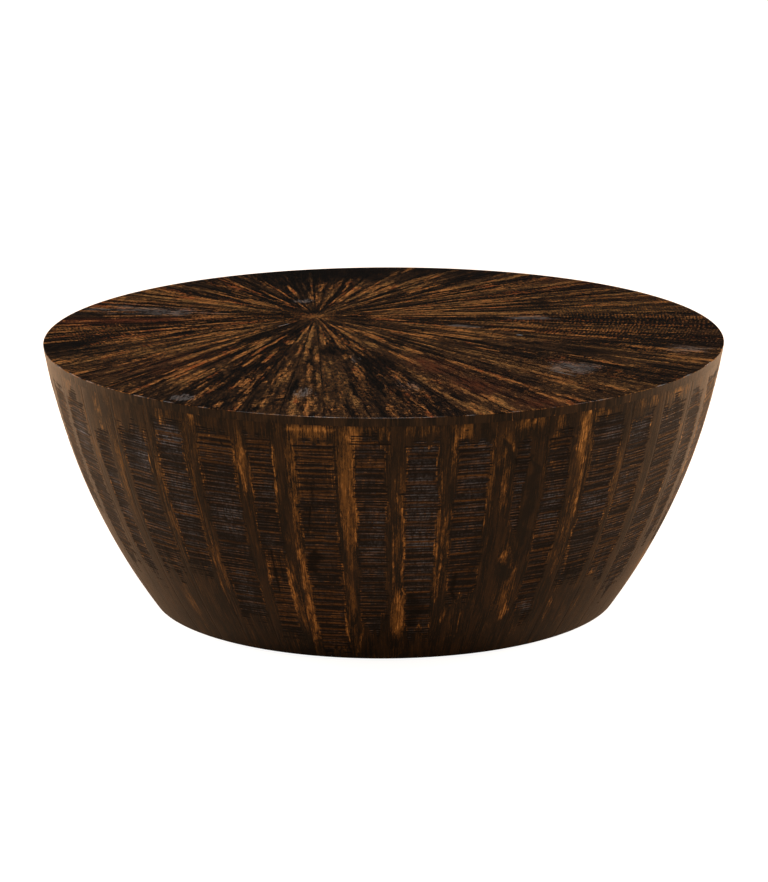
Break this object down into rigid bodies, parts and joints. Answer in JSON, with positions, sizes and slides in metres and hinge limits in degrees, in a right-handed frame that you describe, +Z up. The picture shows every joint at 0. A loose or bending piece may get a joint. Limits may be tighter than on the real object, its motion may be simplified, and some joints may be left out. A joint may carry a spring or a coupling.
{
  "type": "round drum coffee table",
  "caption": "Low round coffee table shaped like a drum: curved dark wood staves narrow to the floor under a flat top of wedge slats fanned from one off-centre point.",
  "frame": {"origin": "on the floor, under the middle of the table, level with the bottom of the glides", "axes": "+Z up along the drum's axis; the side that the picture shows faces -Y; +X is to the right in the picture"},
  "size_m": [1.02, 1.02, 0.4],
  "materials": {
    "stave_wood": "dark stain under satin lacquer, band-sawn faces, amber worn edges",
    "slat_wood": "dark stain under glossy lacquer, amber worn streaks",
    "plywood": "raw plywood, unfinished",
    "nylon": "moulded, matte"
  },
  "bodies": {
    "root": {"stave_01": "stave_wood", "stave_02": "stave_wood", "stave_03": "stave_wood", "stave_04": "stave_wood", "stave_05": "stave_wood", "stave_06": "stave_wood", "stave_07": "stave_wood", "stave_08": "stave_wood", "stave_09": "stave_wood", "stave_10": "stave_wood", "stave_11": "stave_wood", "stave_12": "stave_wood", "stave_13": "stave_wood", "stave_14": "stave_wood", "stave_15": "stave_wood", "stave_16": "stave_wood", "stave_17": "stave_wood", "stave_18": "stave_wood", "stave_19": "stave_wood", "stave_20": "stave_wood", "stave_21": "stave_wood", "stave_22": "stave_wood", "stave_23": "stave_wood", "stave_24": "stave_wood", "stave_25": "stave_wood", "stave_26": "stave_wood", "stave_27": "stave_wood", "stave_28": "stave_wood", "stave_29": "stave_wood", "stave_30": "stave_wood", "stave_31": "stave_wood", "stave_32": "stave_wood", "stave_33": "stave_wood", "stave_34": "stave_wood", "stave_35": "stave_wood", "stave_36": "stave_wood", "stave_37": "stave_wood", "stave_38": "stave_wood", "stave_39": "stave_wood", "stave_40": "stave_wood", "stave_41": "stave_wood", "stave_42": "stave_wood", "sunburst_sector_1": "slat_wood", "sunburst_sector_2": "slat_wood", "sunburst_sector_3": "slat_wood", "sunburst_sector_4": "slat_wood", "sunburst_sector_5": "slat_wood", "sunburst_sector_6": "slat_wood", "sunburst_sector_7": "slat_wood", "sunburst_sector_8": "slat_wood", "top_deck": "plywood", "middle_ring": "plywood", "base_ring": "plywood", "rib_1": "plywood", "rib_2": "plywood", "rib_3": "plywood", "rib_4": "plywood", "floor_glides": "nylon"}
  },
  "joints": []
}
